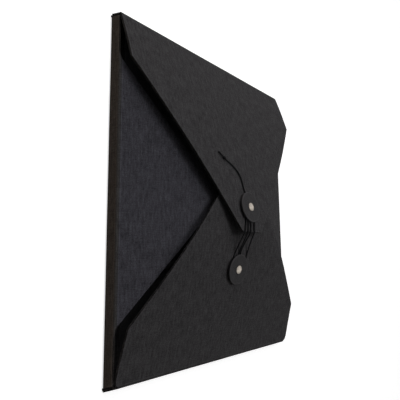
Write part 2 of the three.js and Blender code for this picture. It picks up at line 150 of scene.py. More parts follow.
class Side:
    """One side of the case in its own frame: u outward from the middle, x along the edge, z up.

    The wall's lean, the flap's slopes at its crease, middle and end, and the turn are in degrees.
    """

    def __init__(self, half, lean, crease, middle, end, flap_length, turn, corner_radius=0.0):
        self.lean = math.radians(lean)
        self.crease = crease
        self.middle = middle
        self.end = end
        self.flap_length = flap_length
        self.turn = math.radians(turn)
        self.corner_radius = corner_radius
        self.back_turn = math.pi / 2 + self.lean
        self.flap_turn = math.pi / 2 - math.radians(crease) - self.lean
        self.back_corner = half + FOLD_RADIUS * (math.tan(self.back_turn / 2) - 1)
        self.flap_corner = self.back_corner - WALL_HEIGHT * math.tan(self.lean)
        self.back_setback = self.board_setback(self.back_turn)
        self.flap_setback = self.board_setback(self.flap_turn)

    def board_setback(self, turn):
        """How far a board's end keeps from a corner, for its cloth and for the board beyond."""
        cloth_room = FOLD_RADIUS * math.tan(turn / 2) + PIECE_GAP
        board_room = BOARD_THICKNESS * math.tan(turn / 2) + PIECE_GAP / 2 / math.cos(turn / 2)
        return max(cloth_room, board_room)

    def slope(self, distance):
        """The flap's slope at a distance from the crease, in radians."""
        share = distance / self.flap_length
        bend = 2 * (self.crease - 2 * self.middle + self.end)
        rate = self.end - self.crease - bend
        return math.radians(self.crease + rate * share + bend * share * share)

    def face(self, distance):
        """The flap's outer face at a distance from the crease: place, height and way out."""
        u = self.flap_corner
        z = WALL_HEIGHT
        for part in range(BOW_PARTS):
            slope = self.slope(distance * (part + 0.5) / BOW_PARTS)
            u -= math.cos(slope) * distance / BOW_PARTS
            z += math.sin(slope) * distance / BOW_PARTS
        slope = self.slope(distance)
        return u, z, math.sin(slope), math.cos(slope)

    def wall(self, distance):
        """The wall's outer face at a distance from the back: place, height and way out."""
        u = self.back_corner - math.sin(self.lean) * distance
        return u, math.cos(self.lean) * distance, math.cos(self.lean), math.sin(self.lean)

    def reach(self, height):
        """How far outward a piece may reach at a height, inside the wall and under the flap."""
        inside_fold = self.back_corner - self.back_setback - rounding(self.corner_radius, height)
        thickness = BOARD_THICKNESS / math.cos(self.lean)
        inside_wall = self.back_corner - height * math.tan(self.lean) - thickness - PIECE_GAP
        slope = math.radians(self.crease)
        rise = height + PIECE_GAP - WALL_HEIGHT + BOARD_THICKNESS / math.cos(slope)
        return min(inside_fold, inside_wall, self.flap_corner - rise / math.tan(slope))

    def grain(self, x, distance, depth):
        """A point's place on the cloth, whose warp runs along the case's height."""
        return (distance, x, depth) if self in (LEFT, RIGHT) else (x, distance, depth)

    def to_frame(self, x, u, z):
        """A point of this side's own frame in the object's frame, in metres."""
        cosine = math.cos(self.turn)
        sine = math.sin(self.turn)
        return Vector((x * cosine - u * sine, x * sine + u * cosine, z)) * MM


TOP = Side(
    half=CASE_HEIGHT / 2, lean=15, crease=20.7, middle=12.75, end=7, flap_length=162.2, turn=0,
    corner_radius=BACK_END_RADIUS["top"],
)
BOTTOM = Side(
    half=CASE_HEIGHT / 2, lean=17, crease=14.4, middle=14.31, end=0, flap_length=136, turn=180,
)
FLANK = {
    "half": CASE_WIDTH / 2,
    "lean": 0,
    "crease": SIDE_FLAP_ANGLE,
    "middle": SIDE_FLAP_ANGLE,
    "end": SIDE_FLAP_ANGLE,
    "flap_length": (CASE_WIDTH - SIDE_FLAP_SLOT) / 2,
}
LEFT = Side(**FLANK, turn=90)
RIGHT = Side(**FLANK, turn=-90)
SIDES = {"top": TOP, "bottom": BOTTOM, "left": LEFT, "right": RIGHT}


# Materials: most of a noise's values lie between these two
NOISE_LOW = 0.3
NOISE_HIGH = 0.7


class Nodes:
    """The node tree of a material or world, with short ways to add and link its nodes."""

    def __init__(self, owner):
        owner.use_nodes = True
        self.owner = owner
        self.tree = owner.node_tree
        self.shader = self.tree.nodes.get("Principled BSDF")

    def add(self, kind, **values):
        node = self.tree.nodes.new(kind)
        for key, value in values.items():
            setattr(node, key, value)
        return node

    def link(self, source, target):
        if isinstance(source, (int, float)):
            target.default_value = source
        else:
            self.tree.links.new(source, target)

    def math(self, operation, first, second=0.0):
        node = self.add("ShaderNodeMath", operation=operation)
        self.link(first, node.inputs[0])
        self.link(second, node.inputs[1])
        return node.outputs[0]

    def total(self, first, *others):
        for other in others:
            first = self.math("ADD", first, other)
        return first

    def ramp(self, value, low, high, to_low, to_high):
        """A value between low and high brought between two others."""
        node = self.add("ShaderNodeMapRange")
        self.link(value, node.inputs["Value"])
        ends = {"From Min": low, "From Max": high, "To Min": to_low, "To Max": to_high}
        for key, number in ends.items():
            node.inputs[key].default_value = number
        return node.outputs[0]

    def vary(self, noise, amount, middle=0.0):
        """A noise that runs from an amount below a middle value to the same above it."""
        return self.ramp(noise, NOISE_LOW, NOISE_HIGH, middle - amount, middle + amount)

    def place(self):
        """Where a point lies on its cloth or board, in millimetres."""
        return self.add("ShaderNodeAttribute", attribute_name="place").outputs["Vector"]

    def edge(self):
        """A point's edge value: 1 where worn and painted lightest, 0 on a face, below 0 where painted
        shade darkens it.
        """
        return self.add("ShaderNodeAttribute", attribute_name="edge").outputs["Fac"]

    def noise(self, vector, scale, detail, stretch=(1, 1, 1), roughness=0.5):
        mapping = self.add("ShaderNodeMapping")
        mapping.inputs["Scale"].default_value = stretch
        self.link(vector, mapping.inputs["Vector"])
        node = self.add("ShaderNodeTexNoise")
        node.inputs["Scale"].default_value = scale
        node.inputs["Detail"].default_value = detail
        node.inputs["Roughness"].default_value = roughness
        self.link(mapping.outputs[0], node.inputs["Vector"])
        return node.outputs["Fac"]

    def tint(self, color, shade):
        """A colour made lighter or darker by a factor that varies over the surface."""
        node = self.add("ShaderNodeMix", data_type="RGBA", blend_type="MULTIPLY")
        node.inputs["Factor"].default_value = 1.0
        node.inputs["A"].default_value = (*color, 1)
        gray = self.add("ShaderNodeCombineXYZ")
        for socket in gray.inputs:
            self.link(shade, socket)
        self.link(gray.outputs[0], node.inputs["B"])
        return node.outputs["Result"]

    def bump(self, height, distance, strength):
        node = self.add("ShaderNodeBump")
        node.inputs["Strength"].default_value = strength
        node.inputs["Distance"].default_value = distance * MM
        self.link(height, node.inputs["Height"])
        self.link(node.outputs[0], self.shader.inputs["Normal"])

    def surface(self, color, shade, roughness, gloss=0.5):
        """Sets the shader's colour, with its varying shade, its roughness and its gloss."""
        self.link(self.tint(color, shade), self.shader.inputs["Base Color"])
        self.link(roughness, self.shader.inputs["Roughness"])
        self.shader.inputs["Specular IOR Level"].default_value = gloss


# Book cloth: its threads' spacing, in millimetres, and the least shade that edges darkened by painted
# shade keep
THREAD_SPACING = 0.42
LEAST_SHADE = 0.1


def book_cloth(name, color, wear_and_painted_light=0.5):
    """Linen book cloth: fine over and under threads, slubs along both ways, edges paler where worn and
    with painted highlight, and turned edges darker with painted shade.
    """
    nodes = Nodes(bpy.data.materials.new(name))
    place = nodes.place()
    split = nodes.add("ShaderNodeSeparateXYZ")
    nodes.link(place, split.inputs[0])
    wander = nodes.math("MULTIPLY", nodes.noise(place, 0.35, 2), 0.9)
    turns = math.pi / THREAD_SPACING
    warp_wave = nodes.math("SINE", nodes.math("MULTIPLY", nodes.total(split.outputs[0], wander), turns))
    weft_wave = nodes.math("SINE", nodes.math("MULTIPLY", nodes.total(split.outputs[1], wander), turns))
    over = nodes.math("GREATER_THAN", nodes.math("MULTIPLY", warp_wave, weft_wave), 0.0)
    ridge = nodes.add("ShaderNodeMix", data_type="FLOAT")
    nodes.link(over, ridge.inputs["Factor"])
    nodes.link(nodes.math("ABSOLUTE", warp_wave), ridge.inputs["A"])
    nodes.link(nodes.math("ABSOLUTE", weft_wave), ridge.inputs["B"])
    threads = ridge.outputs[0]
    slubs = nodes.total(
        nodes.noise(place, 1.0, 2, (1.6, 0.09, 1)), nodes.noise(place, 1.0, 2, (0.09, 1.6, 1)),
    )
    cloud = nodes.noise(place, 0.1, 3)
    streaks = nodes.noise(place, 0.6, 4, (0.9, 0.24, 1), 0.7)
    speckle = nodes.noise(place, 1.1, 3, roughness=0.7)
    shade = nodes.total(
        nodes.ramp(slubs, 0.7, 1.3, 0.8, 1.2),
        nodes.vary(cloud, 0.1),
        nodes.vary(streaks, 0.36),
        nodes.vary(speckle, 0.36),
    )
    shade = nodes.math("MULTIPLY", shade, nodes.ramp(threads, 0, 1, 0.76, 1.16))
    # Edge values make the cloth paler where worn and with painted highlight, and darker with painted
    # shade where they fall below 0.
    edge_wear_and_painted_light = nodes.math("MULTIPLY", nodes.edge(), nodes.vary(nodes.noise(place, 0.9, 3), 0.25, 0.75))
    shade = nodes.total(shade, nodes.math("MULTIPLY", edge_wear_and_painted_light, wear_and_painted_light))
    shade = nodes.math("MAXIMUM", shade, LEAST_SHADE)
    nodes.surface(color, shade, roughness=0.9, gloss=0.06)
    nodes.bump(nodes.total(threads, nodes.math("MULTIPLY", slubs, 0.8)), 0.09, 0.7)
    return nodes.owner


def lining_paper(name, color):
    """A smooth matt sheet with faint fibres."""
    nodes = Nodes(bpy.data.materials.new(name))
    place = nodes.place()
    fibres = nodes.noise(place, 1.4, 4, (1, 0.25, 1))
    cloud = nodes.noise(place, 0.04, 2)
    shade = nodes.total(nodes.vary(fibres, 0.1, 1.0), nodes.vary(cloud, 0.06))
    nodes.surface(color, shade, roughness=0.7, gloss=0.35)
    nodes.bump(fibres, 0.03, 0.5)
    return nodes.owner


def disc_fibre(name, color):
    """Pressed fibre board: speckled faces and a paler cut edge and upper rim, partly painted highlight.
    """
    nodes = Nodes(bpy.data.materials.new(name))
    place = nodes.place()
    speckle = nodes.noise(place, 1.8, 4, roughness=0.7)
    cloud = nodes.noise(place, 0.25, 2)
    pale_rim_and_highlight = nodes.math("MULTIPLY", nodes.edge(), 0.6)
    shade = nodes.total(nodes.vary(speckle, 0.4, 1.0), nodes.vary(cloud, 0.1), pale_rim_and_highlight)
    nodes.surface(color, shade, roughness=0.8, gloss=0.08)
    nodes.bump(speckle, 0.05, 0.6)
    return nodes.owner


def rivet_metal(name, color):
    """Dull nickel with smudges and fine scratches, darker where its edge value is high: on the post,
    collar and clinch, and as painted shade round the head's rim.
    """
    nodes = Nodes(bpy.data.materials.new(name))
    place = nodes.place()
    scratch = nodes.noise(place, 2.0, 4, (0.3, 3, 1), 0.7)
    smudge = nodes.noise(place, 0.7, 3)
    shade = nodes.total(nodes.ramp(smudge, 0.35, 0.65, 0.72, 1.05), nodes.vary(scratch, 0.05))
    shade = nodes.math("SUBTRACT", shade, nodes.math("MULTIPLY", nodes.edge(), 0.45))
    nodes.surface(color, shade, roughness=nodes.vary(smudge, 0.07, 0.57))
    nodes.bump(scratch, 0.02, 0.4)
    nodes.shader.inputs["Metallic"].default_value = 1.0
    return nodes.owner


def waxed_thread(name, color):
    """Waxed cord: fine fibres along the twist and a painted sheen that makes its ridges paler."""
    nodes = Nodes(bpy.data.materials.new(name))
    place = nodes.place()
    fibres = nodes.noise(place, 1.5, 3, (4, 0.8, 1))
    # Each ply's ridge is made paler by its edge value: a painted sheen.
    shade = nodes.total(nodes.vary(fibres, 0.3, 1.0), nodes.math("MULTIPLY", nodes.edge(), 0.6))
    nodes.surface(color, shade, roughness=0.75, gloss=0.08)
    nodes.bump(fibres, 0.04, 0.6)
    return nodes.owner


COVER_CLOTH = book_cloth("cover_cloth", (0.0397, 0.0382, 0.04))
# A lighter, bluer copy of the cover cloth for the left side flap: painted light.
LEFT_FLAP_PAINTED_LIGHT_CLOTH = book_cloth("left_flap_painted_light_cloth", (0.042, 0.041, 0.0487))
# A darker, warmer copy of the cover cloth for the walls: painted shade and painted warm bounce light.
WALL_PAINTED_LIGHT_CLOTH = book_cloth("wall_painted_light_cloth", (0.0367, 0.033, 0.0313))
HINGE_CLOTH = book_cloth("hinge_cloth", (0.036, 0.035, 0.036), wear_and_painted_light=0.25)
LINING_PAPER = lining_paper("lining_paper", (0.02, 0.02, 0.022))
DISC_FIBRE = disc_fibre("disc_fibre", (0.031, 0.0298, 0.0312))
RIVET_METAL = rivet_metal("rivet_metal", (0.45, 0.405, 0.355))
WAXED_THREAD = waxed_thread("waxed_thread", (0.003, 0.003, 0.0035))


# Points closer than this, in metres, become one
MERGE_DISTANCE = 1e-7


class Form:
    """A mesh in the making: each point has a place on its cloth, in millimetres, and an edge value."""

    def __init__(self):
        self.points = []
        self.places = []
        self.edges = []
        self.faces = []

    def point(self, position, place, edge=0.0):
        self.points.append(position)
        self.places.append(place)
        self.edges.append(edge)
        return len(self.points) - 1

    def join(self, rings):
        """Joins each ring of points to the next, with triangles where one is a single point."""
        for here, there in zip(rings, rings[1:]):
            count = max(len(here), len(there))
            for step in range(count):
                beside = (step + 1) % count
                if len(here) == 1:
                    self.faces.append((here[0], there[beside], there[step]))
                elif len(there) == 1:
                    self.faces.append((here[step], here[beside], there[0]))
                else:
                    self.faces.append((here[step], here[beside], there[beside], there[step]))

    def piece(self, name, material, sharp=40):
        """The finished object; edges over the sharp angle, in degrees, stay sharp."""
        mesh = bpy.data.meshes.new(name)
        mesh.from_pydata(self.points, [], self.faces)
        place = mesh.attributes.new("place", "FLOAT_VECTOR", "POINT")
        place.data.foreach_set("vector", [value for triple in self.places for value in triple])
        edge = mesh.attributes.new("edge", "FLOAT", "POINT")
        edge.data.foreach_set("value", self.edges)
        merged = bmesh.new()
        merged.from_mesh(mesh)
        bmesh.ops.remove_doubles(merged, verts=merged.verts, dist=MERGE_DISTANCE)
        bmesh.ops.recalc_face_normals(merged, faces=merged.faces)
        merged.to_mesh(mesh)
        merged.free()
        mesh.shade_smooth()
        mesh.set_sharp_from_angle(angle=math.radians(sharp))
        mesh.materials.append(material)
        piece = bpy.data.objects.new(name, mesh)
        bpy.context.scene.collection.objects.link(piece)
        return piece


def dress(piece, slot, node, body):
    """Hides the solid that a piece stands for and hangs the piece on the body that it rides; the slot
    is not used.
    """
    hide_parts(node)
    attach(piece, body)


# Boards: the depth of their faces' slow warp and ripple, and the lengths of each, across and along
WARP_DEPTH = 0.09
WARP_LENGTHS = (37, 29)
RIPPLE_DEPTH = 0.04
RIPPLE_LENGTHS = (13, 17)

# Their edges and corners, and how finely they are divided
EDGE_RADIUS = 0.5
CORNER_RADIUS = 1.3
WEAR_AND_HIGHLIGHT_WIDTH = 0.9
UNDER_HALF = 0.49
END_STEPS = [0, 0.06, 0.2, EDGE_RADIUS, CORNER_RADIUS, EDGE_RADIUS + WEAR_AND_HIGHLIGHT_WIDTH + 0.4]
BOARD_STEP = 3.0
BREAK_CLEARANCE = 0.8
HOLE_SIDES = 32

# The edge value of the turned edges and, up to this distance, of the ends: painted shade, darker than a
# face
EDGE_PAINTED_SHADE = -2.2
END_FACE = 0.1


def warp(side, x, distance):
    """How far a board's face wanders from true, in millimetres; each side has its own phase."""
    phase = side.turn * 2.3
    slow = math.sin(x / WARP_LENGTHS[0] + phase) * math.sin(distance / WARP_LENGTHS[1] + phase * 1.7)
    ripple = math.sin(x / RIPPLE_LENGTHS[0] + distance / RIPPLE_LENGTHS[1] + phase)
    return WARP_DEPTH * slow + RIPPLE_DEPTH * ripple


def end_distances(start, end, breaks):
    """Distances along a board: close at its rounded ends, even between."""
    inner_start = start + END_STEPS[-1]
    inner_end = end - END_STEPS[-1]
    steps = max(2, round((inner_end - inner_start) / BOARD_STEP))
    middle = [inner_start + (inner_end - inner_start) * step / steps for step in range(1, steps)]
    kept = [d for d in middle if all(abs(d - b) > BREAK_CLEARANCE for b in breaks)]
    ends = [start + d for d in END_STEPS] + [end - d for d in END_STEPS]
    return sorted(ends + kept + list(breaks))


def section(low, high, top, bottom, radius, columns, face_wear_and_painted_light):
    """A board's outline across: outer face, one turned edge, inner face and the other edge."""
    bend = [math.radians(30 * step) for step in (1, 2, 3)]

    def turned_edge(limit, sign, start, finish):
        down = 1 if finish > start else -1
        turn_in = [
            (limit - sign * radius * (1 - math.sin(angle)), down * radius * (1 - math.cos(angle)))
            for angle in bend
        ]
        # The turned edges carry painted shade.
        first = [(x, start + drop, EDGE_PAINTED_SHADE) for x, drop in turn_in]
        return first + [(x, finish - drop, EDGE_PAINTED_SHADE) for x, drop in reversed(turn_in)]

    inner_low = low + radius + WEAR_AND_HIGHLIGHT_WIDTH
    inner_high = high - radius - WEAR_AND_HIGHLIGHT_WIDTH
    # The rounded rims of the outer face get edge value 1: worn and with painted highlight.
    row = [(low + radius, 1.0)]
    for column in range(columns + 1):
        row.append((inner_low + (inner_high - inner_low) * column / columns, face_wear_and_painted_light))
    row.append((high - radius, 1.0))
    outer_face = [(x, top, wear_and_painted_light) for x, wear_and_painted_light in row]
    inner_face = [(x, bottom, 0.0) for x, _ in reversed(row)]
    high_edge = turned_edge(high, 1, top, bottom)
    low_edge = turned_edge(low, -1, bottom, top)
    return outer_face + high_edge + inner_face + low_edge


def board(
    side, faces, start, end, limits, outer, inner, width,
    breaks=(), corner=CORNER_RADIUS, folds=(0, 0),
):
    """A board between two depths, with round edges and its corners drawn in at the folds.

    Its limits give both ends across at each distance, and its width sets how many columns it has.
    """
    columns = round(width / BOARD_STEP)
    form = Form()
    rings = []
    edge_radius = min(EDGE_RADIUS, UNDER_HALF * (inner - outer))
    for distance in end_distances(start, end, breaks):
        from_end = min(distance - start, end - distance)
        inset = rounding(edge_radius, from_end)
        low, high = limits(distance)
        drawn = max(
            rounding(corner, from_end),
            rounding(folds[0], distance - start + FOLD_RADIUS),
            rounding(folds[1], end - distance + FOLD_RADIUS),
        )
        top = outer + inset
        bottom = inner - inset
        radius = min(edge_radius, UNDER_HALF * (bottom - top))
        # Near an end the face grows paler, worn and with painted highlight; the end itself carries
        # painted shade.
        end_wear_and_painted_highlight = max(0.0, 1 - max(0.0, from_end - EDGE_RADIUS) / WEAR_AND_HIGHLIGHT_WIDTH)
        face_wear_and_painted_light = end_wear_and_painted_highlight if from_end > END_FACE else EDGE_PAINTED_SHADE
        u, z, nu, nz = faces(distance)
        indices = []
        for x, depth, wear_and_painted_light in section(
            low + drawn, high - drawn, top, bottom, radius, columns, face_wear_and_painted_light,
        ):
            drop = depth - warp(side, x, distance)
            position = side.to_frame(x, u - nu * drop, z - nz * drop)
            indices.append(form.point(position, side.grain(x, distance, depth), wear_and_painted_light))
        rings.append(indices)
    close_rings(form, rings, columns + 3)
    return form


def close_rings(form, rings, row):
    """Joins rings and closes both ends across their two rows."""
    form.join(rings)
    side_count = (len(rings[0]) - 2 * row) // 2
    for ring in (rings[0], rings[-1]):
        second = row + side_count
        for step in range(row - 1):
            opposite = second + row - 1 - step
            form.faces.append((ring[step], ring[step + 1], ring[opposite - 1], ring[opposite]))
        form.faces.append(tuple(ring[row - 1:second + 1]))
        form.faces.append(tuple(ring[second + row - 1:]) + (ring[0],))


def drill(piece, side, rivet):
    """Cuts the post's hole through a board or lining."""
    mesh = bpy.data.meshes.new("hole")
    hole = bmesh.new()
    radius = POST_HOLE * MM
    depth = 4 * LINING_BOTTOM * MM
    bmesh.ops.create_cone(
        hole, cap_ends=True, segments=HOLE_SIDES, radius1=radius, radius2=radius, depth=depth,
    )
    hole.to_mesh(mesh)
    hole.free()
    cutter = bpy.data.objects.new("hole", mesh)
    bpy.context.scene.collection.objects.link(cutter)
    upright = Vector((0, 0, 1))
    rotation = upright.rotation_difference(rivet_axis(side, rivet)).to_matrix().to_4x4()
    cutter.matrix_world = Matrix.Translation(on_flap(side, rivet)) @ rotation
    cut = piece.modifiers.new("hole", "BOOLEAN")
    cut.operation = "DIFFERENCE"
    cut.object = cutter
    bpy.context.view_layer.objects.active = piece
    bpy.ops.object.modifier_apply(modifier=cut.name)
    bpy.data.objects.remove(cutter)
    bpy.data.meshes.remove(mesh)


def on_flap(side, distance, x=0.0, height=0.0):
    """A point over an outer flap: from its crease, from the rivets' line and over its face."""
    u, z, nu, nz = side.face(distance)
    return side.to_frame((RIVET_X + x) * math.cos(side.turn), u + nu * height, z + nz * height)


def rivet_axis(side, rivet):
    """The way out of the flap's face at its rivet."""
    _, _, nu, nz = side.face(rivet)
    return side.to_frame(0, nu, nz).normalized()


# Hinge cloth: steps round its fold, its columns' width and how much of the boards' warp it follows
ARC_STEPS = 14
HINGE_COLUMN = 4.0
HINGE_WARP = 0.5


def hinge_stations(corner, from_angle, turn, lip):
    """Places round a fold, each with the angle of its way out, and the fold's middle."""
    middle = from_angle + turn / 2
    away = FOLD_RADIUS / math.cos(turn / 2)
    centre = (corner[0] - away * math.cos(middle), corner[1] - away * math.sin(middle))
    tangent = FOLD_RADIUS * math.tan(turn / 2)

    def on_fold(angle):
        return centre[0] + FOLD_RADIUS * math.cos(angle), centre[1] + FOLD_RADIUS * math.sin(angle)

    def beyond(angle, sign, share):
        distance = tangent + (lip - tangent) * share
        way = (-math.sin(angle) * sign, math.cos(angle) * sign)
        return corner[0] + way[0] * distance, corner[1] + way[1] * distance, angle

    stations = [beyond(from_angle, -1, share) for share in (1, 0.5)]
    for step in range(ARC_STEPS + 1):
        angle = from_angle + turn * step / ARC_STEPS
        stations.append((*on_fold(angle), angle))
    stations += [beyond(from_angle + turn, 1, share) for share in (0.5, 1)]
    return stations, on_fold(middle)


def hinge(name, corner, from_angle, turn, lip, side, limits, end_radius):
    """A strip of cloth round a fold; its ends may be drawn in."""
    stations, fold = hinge_stations(corner, from_angle, turn, lip)
    low, high = limits(stations[0][1])
    columns = round((high - low) / HINGE_COLUMN)
    form = Form()
    rings = []
    travelled = 0.0
    for place, (u, z, angle) in enumerate(stations):
        if place:
            travelled += math.hypot(u - stations[place - 1][0], z - stations[place - 1][1])
        drawn = rounding(end_radius, math.hypot(u - fold[0], z - fold[1]))
        low, high = limits(z)
        low += drawn
        high -= drawn
        # The cloth grows paler towards the fold's middle: worn there, and painted highlight.
        fold_wear_and_highlight = 1.0 - abs(2 * place / (len(stations) - 1) - 1)
        ring = []
        for depth, edge in ((0.0, fold_wear_and_highlight), (CLOTH_THICKNESS, 0.0)):
            row = []
            for column in range(columns + 1):
                x = low + (high - low) * column / columns
                drop = depth - HINGE_WARP * warp(side, x, 0)
                position = side.to_frame(x, u - drop * math.cos(angle), z - drop * math.sin(angle))
                row.append(form.point(position, side.grain(x, travelled, depth), edge))
            ring += row if depth == 0 else row[::-1]
        rings.append(ring)
    close_rings(form, rings, columns + 1)
    piece = form.piece(name, HINGE_CLOTH)
    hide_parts(name)
    start = side.to_frame(0, *stations[0][:2])
    end = side.to_frame(0, *stations[-1][:2])
    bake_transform(piece)


def flank_ends(name):
    """The sides that the left or right side runs between."""
    return (BOTTOM, TOP) if name == "left" else (TOP, BOTTOM)


def side_limits(name, shoulder=0.0):
    """A side's two ends at a height: the left and right sides lie inside the others."""
    if name in ("top", "bottom"):
        return lambda height: (-CASE_WIDTH / 2, CASE_WIDTH / 2)
    low_side, high_side = flank_ends(name)
    return lambda height: (shoulder - low_side.reach(height), high_side.reach(height) - shoulder)


def finish_board(form, name, material, slot, body, drilled=None):
    piece = form.piece(name, material)
    if drilled:
        drill(piece, *drilled)
    dress(piece, slot, name, body)


def make_walls_and_hinges():
    for name, side in SIDES.items():
        limits = side_limits(name)
        wall_length = WALL_HEIGHT / math.cos(side.lean)
        form = board(
            side, side.wall, side.back_setback, wall_length - side.flap_setback,
            lambda distance, side=side, limits=limits: limits(side.wall(distance)[1]),
            0, BOARD_THICKNESS, CASE_HEIGHT, corner=EDGE_RADIUS,
            folds=(BACK_END_RADIUS[name], FOLD_END_RADIUS[name]),
        )
        # The walls take the copy of the cloth with painted shade and painted warm light.
        finish_board(form, f"{name}_wall", WALL_PAINTED_LIGHT_CLOTH, "cover_cloth", f"{name}_wall")
        hinge(
            f"{name}_back_hinge", (side.back_corner, 0), -math.pi / 2, side.back_turn,
            side.back_setback, side, limits, BACK_END_RADIUS[name],
        )
        hinge(
            f"{name}_flap_hinge", (side.flap_corner, WALL_HEIGHT), side.lean, side.flap_turn,
            side.flap_setback, side,
            side_limits(name, SIDE_FLAP_SHOULDER), FOLD_END_RADIUS[name],
        )


# The outer flaps' outlines: nearly straight from the crease, then slanted to a blunt end
OUTER_SHAPES = {
    "top": {"straight": 40.9, "taper": 0.3, "end": 14.0, "rivet": TOP_RIVET},
    "bottom": {"straight": 39.4, "taper": 2.7, "end": 32.4, "rivet": BOTTOM_RIVET},
}


def outer_half_width(distance, side, shape):
    """Half an outer flap's width at a distance from its crease."""
    if distance <= shape["straight"]:
        return CASE_WIDTH / 2 - shape["taper"] * distance / shape["straight"]
    share = (distance - shape["straight"]) / (side.flap_length - shape["straight"])
    wide = CASE_WIDTH / 2 - shape["taper"]
    return wide + (shape["end"] - wide) * share


def both_ways(half_width, *values):
    """Limits that lie as far out on both sides of the middle."""
    return lambda distance: (-half_width(distance, *values), half_width(distance, *values))


def lining_half_width(distance, side, shape, slant_margin):
    """Half a lining's width: its board's, less a margin square to each edge."""
    straight = CASE_WIDTH / 2 - shape["taper"] - LINING_EDGE_MARGIN
    return min(straight, outer_half_width(distance, side, shape) - slant_margin)


def make_flap(name, cloth, limits, lining_limits, width, breaks=((), ()), drilled=None):
    """A flap's covered board and the lining inside it."""
    side = SIDES[name]
    cover = board(
        side, side.face, side.flap_setback, side.flap_length, limits, 0, BOARD_THICKNESS, width,
        breaks[0], folds=(FOLD_END_RADIUS[name], 0),
    )
    finish_board(cover, f"{name}_flap", cloth, "cover_cloth", f"{name}_flap", drilled)
    sheet = board(
        side, side.face, LINING_CREASE_MARGIN, side.flap_length - LINING_EDGE_MARGIN, lining_limits,
        LINING_TOP, LINING_BOTTOM, width, breaks[1],
    )
    finish_board(sheet, f"{name}_flap_lining", LINING_PAPER, "lining", f"{name}_flap", drilled)


def make_outer_flaps():
    for name, shape in OUTER_SHAPES.items():
        side = SIDES[name]
        drop = CASE_WIDTH / 2 - shape["taper"] - shape["end"]
        slant = drop / (side.flap_length - shape["straight"])
        slant_margin = LINING_EDGE_MARGIN * math.hypot(1, slant)
        bend = shape["straight"] - (slant_margin - LINING_EDGE_MARGIN) / slant
        make_flap(
            name, COVER_CLOTH, both_ways(outer_half_width, side, shape),
            both_ways(lining_half_width, side, shape, slant_margin), CASE_WIDTH,
            breaks=([shape["straight"]], [bend]), drilled=(side, shape["rivet"]),
        )


def flank_reach(beyond, distance, margin):
    """How far a side flap runs towards the side beyond one end."""
    crease = beyond.reach(WALL_HEIGHT) - SIDE_FLAP_SHOULDER
    slant = (crease - SIDE_FLAP_END_HALF_WIDTH) / FLANK["flap_length"]
    return crease - slant * distance - margin * math.hypot(1, slant)


def mitred(name, margin=0.0):
    """The slanted ends of a side flap, or of its lining, by distance from its crease."""
    low_side, high_side = flank_ends(name)
    return lambda distance: (
        -flank_reach(low_side, distance, margin), flank_reach(high_side, distance, margin),
    )


def make_side_flaps():
    # The left side flap takes the copy of the cloth with painted light; the right one takes the cover
    # cloth.
    for name, cloth in (("left", LEFT_FLAP_PAINTED_LIGHT_CLOTH), ("right", COVER_CLOTH)):
        make_flap(name, cloth, mitred(name), mitred(name, LINING_EDGE_MARGIN), CASE_HEIGHT)


def underside(distance):
    """The back's outer face, by distance from the case's middle towards its top edge."""
    return distance, 0.0, 0.0, -1.0


def make_back():
    """The back board and its lining, laid from the bottom edge to the top edge."""
    for name, margin, outer, inner, material, slot in (
        ("back_panel", None, 0, BOARD_THICKNESS, COVER_CLOTH, "cover_cloth"),
        ("back_lining", LINING_CREASE_MARGIN, LINING_TOP, LINING_BOTTOM, LINING_PAPER, "lining"),
    ):
        start = -(BOTTOM.back_corner - (margin or BOTTOM.back_setback))
        end = TOP.back_corner - (margin or TOP.back_setback)
        half = LEFT.back_corner - (margin or LEFT.back_setback)
        form = board(
            TOP, underside, start, end, lambda distance, half=half: (-half, half), outer, inner,
            CASE_WIDTH,
        )
        finish_board(form, name, material, slot, "base")


# Turned pieces: discs, rivets and washers
def turned(profile, place, normal, segments=64):
    """A body turned about an axis, from (radius, height, edge value) points, in millimetres."""
    form = Form()
    rotation = Vector((0, 0, 1)).rotation_difference(normal).to_matrix()
    closed = profile[0][:2] == profile[-1][:2]
    rows = []
    for radius, height, edge in profile[:-1] if closed else profile:
        row = []
        count = segments if radius > 0 else 1
        for step in range(count):
            angle = 2 * math.pi * step / segments
            local = Vector((radius * math.cos(angle), radius * math.sin(angle), height))
            row.append(form.point(place + rotation @ local * MM, tuple(local), edge))
        rows.append(row)
    form.join(rows + rows[:1] if closed else rows)
    return form


def arc(centre, radius, from_angle, to_angle, steps, edge):
    """Profile points on an arc, by angle in degrees from straight out."""
    points = []
    for step in range(steps + 1):
        angle = math.radians(from_angle + (to_angle - from_angle) * step / steps)
        out = centre[0] + radius * math.cos(angle)
        points.append((out, centre[1] + radius * math.sin(angle), edge))
    return points


DISC_LIP = 0.3
CLINCH_ROUND = 0.25
HEAD_RIM_HEIGHT = 0.26
HEAD_STEPS = 9
WASHER_ROUND = 0.12


